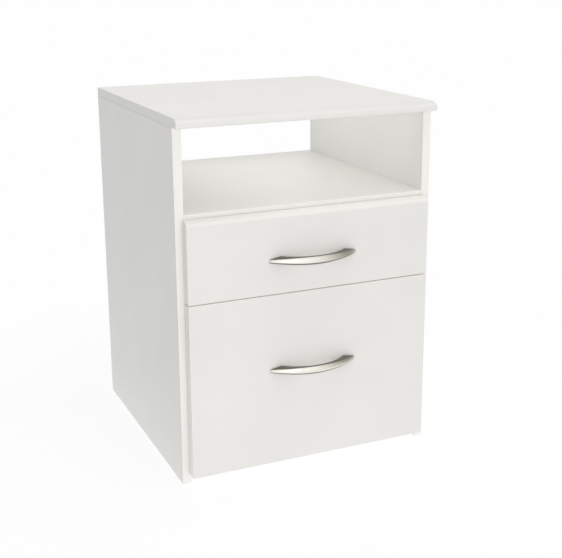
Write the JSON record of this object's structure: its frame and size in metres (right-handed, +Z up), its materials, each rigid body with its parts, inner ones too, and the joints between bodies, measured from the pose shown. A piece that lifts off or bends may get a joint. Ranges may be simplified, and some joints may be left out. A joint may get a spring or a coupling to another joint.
{
  "type": "filing cabinet",
  "caption": "White laminated-board filing pedestal with an open compartment over a shallow drawer and a deep hanging-file drawer, each with a tapered bow handle.",
  "frame": {"origin": "on the floor, under the middle of the whole outline, which runs from the handles to the rear edges", "axes": "+Z up, -Y the way the drawers open, +X to the right of someone facing the drawers"},
  "size_m": [0.465, 0.4976, 0.624],
  "materials": {
    "white_laminate": "white melamine-faced board, satin",
    "hardboard": "thin white-faced hardboard, matt",
    "beech": "raw beech dowel",
    "satin_nickel": "satin nickel plate, lightly brushed",
    "zinc_steel": "bright zinc-plated steel",
    "coated_steel": "white epoxy-coated sheet steel",
    "nylon": "natural white nylon",
    "plastic": "moulded polypropylene"
  },
  "bodies": {
    "cabinet": {"back_panel": "hardboard", "base_panel": "white_laminate", "dowel_base_front_left": "beech", "dowel_base_front_right": "beech", "dowel_base_rear_left": "beech", "dowel_base_rear_right": "beech", "dowel_shelf_front_left": "beech", "dowel_shelf_front_right": "beech", "dowel_shelf_rear_left": "beech", "dowel_shelf_rear_right": "beech", "dowel_top_front_left": "beech", "dowel_top_front_right": "beech", "dowel_top_rear_left": "beech", "dowel_top_rear_right": "beech", "fixed_shelf": "white_laminate", "floor_glide_front_left": "plastic", "floor_glide_front_right": "plastic", "floor_glide_rear_left": "plastic", "floor_glide_rear_right": "plastic", "lower_cabinet_track_left": "coated_steel", "lower_cabinet_track_right": "coated_steel", "side_panel_left": "white_laminate", "side_panel_right": "white_laminate", "top_panel": "white_laminate", "upper_cabinet_track_left": "coated_steel", "upper_cabinet_track_right": "coated_steel"},
    "upper_drawer": {"upper_drawer_back": "white_laminate", "upper_drawer_bottom": "hardboard", "upper_drawer_front": "white_laminate", "upper_drawer_runner_left": "coated_steel", "upper_drawer_runner_right": "coated_steel", "upper_drawer_side_left": "white_laminate", "upper_drawer_side_right": "white_laminate", "upper_handle": "satin_nickel", "upper_handle_screw_left": "zinc_steel", "upper_handle_screw_right": "zinc_steel"},
    "lower_drawer": {"lower_drawer_back": "white_laminate", "lower_drawer_bottom": "hardboard", "lower_drawer_front": "white_laminate", "lower_drawer_runner_left": "coated_steel", "lower_drawer_runner_right": "coated_steel", "lower_drawer_side_left": "white_laminate", "lower_drawer_side_right": "white_laminate", "lower_handle": "satin_nickel", "lower_handle_screw_left": "zinc_steel", "lower_handle_screw_right": "zinc_steel", "file_rail_left": "coated_steel", "file_rail_right": "coated_steel"},
    "upper_cabinet_roller_left": {"upper_cabinet_roller_left": "nylon"},
    "upper_drawer_roller_left": {"upper_drawer_roller_left": "nylon"},
    "upper_cabinet_roller_right": {"upper_cabinet_roller_right": "nylon"},
    "upper_drawer_roller_right": {"upper_drawer_roller_right": "nylon"},
    "lower_cabinet_roller_left": {"lower_cabinet_roller_left": "nylon"},
    "lower_drawer_roller_left": {"lower_drawer_roller_left": "nylon"},
    "lower_cabinet_roller_right": {"lower_cabinet_roller_right": "nylon"},
    "lower_drawer_roller_right": {"lower_drawer_roller_right": "nylon"}
  },
  "joints": [
    {"name": "upper_drawer_slide", "type": "slide", "parent": "cabinet", "child": "upper_drawer", "axis": [0, -1, 0], "range_m": [0, 0.305]},
    {"name": "upper_cabinet_roller_left_spin", "type": "hinge", "parent": "cabinet", "child": "upper_cabinet_roller_left", "pos_m": [-0.2124, -0.18725, 0.3438], "axis": [1, 0, 0], "range_deg": [-10, 1960]},
    {"name": "upper_drawer_roller_left_spin", "type": "hinge", "parent": "upper_drawer", "child": "upper_drawer_roller_left", "pos_m": [-0.2114, 0.18525, 0.3435], "axis": [1, 0, 0], "range_deg": [-10, 1960]},
    {"name": "upper_cabinet_roller_right_spin", "type": "hinge", "parent": "cabinet", "child": "upper_cabinet_roller_right", "pos_m": [0.2124, -0.18725, 0.3438], "axis": [1, 0, 0], "range_deg": [-10, 1960]},
    {"name": "upper_drawer_roller_right_spin", "type": "hinge", "parent": "upper_drawer", "child": "upper_drawer_roller_right", "pos_m": [0.2114, 0.18525, 0.3435], "axis": [1, 0, 0], "range_deg": [-10, 1960]},
    {"name": "lower_drawer_slide", "type": "slide", "parent": "cabinet", "child": "lower_drawer", "axis": [0, -1, 0], "range_m": [0, 0.305]},
    {"name": "lower_cabinet_roller_left_spin", "type": "hinge", "parent": "cabinet", "child": "lower_cabinet_roller_left", "pos_m": [-0.2124, -0.18725, 0.0488], "axis": [1, 0, 0], "range_deg": [-10, 1960]},
    {"name": "lower_drawer_roller_left_spin", "type": "hinge", "parent": "lower_drawer", "child": "lower_drawer_roller_left", "pos_m": [-0.2114, 0.18525, 0.0485], "axis": [1, 0, 0], "range_deg": [-10, 1960]},
    {"name": "lower_cabinet_roller_right_spin", "type": "hinge", "parent": "cabinet", "child": "lower_cabinet_roller_right", "pos_m": [0.2124, -0.18725, 0.0488], "axis": [1, 0, 0], "range_deg": [-10, 1960]},
    {"name": "lower_drawer_roller_right_spin", "type": "hinge", "parent": "lower_drawer", "child": "lower_drawer_roller_right", "pos_m": [0.2114, 0.18525, 0.0485], "axis": [1, 0, 0], "range_deg": [-10, 1960]}
  ],
  "couplings": [
    {"joint": "upper_cabinet_roller_left_spin", "follows": "upper_drawer_slide", "rad_per_m": 111.11},
    {"joint": "upper_drawer_roller_left_spin", "follows": "upper_drawer_slide", "rad_per_m": 111.11},
    {"joint": "upper_cabinet_roller_right_spin", "follows": "upper_drawer_slide", "rad_per_m": 111.11},
    {"joint": "upper_drawer_roller_right_spin", "follows": "upper_drawer_slide", "rad_per_m": 111.11},
    {"joint": "lower_cabinet_roller_left_spin", "follows": "lower_drawer_slide", "rad_per_m": 111.11},
    {"joint": "lower_drawer_roller_left_spin", "follows": "lower_drawer_slide", "rad_per_m": 111.11},
    {"joint": "lower_cabinet_roller_right_spin", "follows": "lower_drawer_slide", "rad_per_m": 111.11},
    {"joint": "lower_drawer_roller_right_spin", "follows": "lower_drawer_slide", "rad_per_m": 111.11}
  ]
}
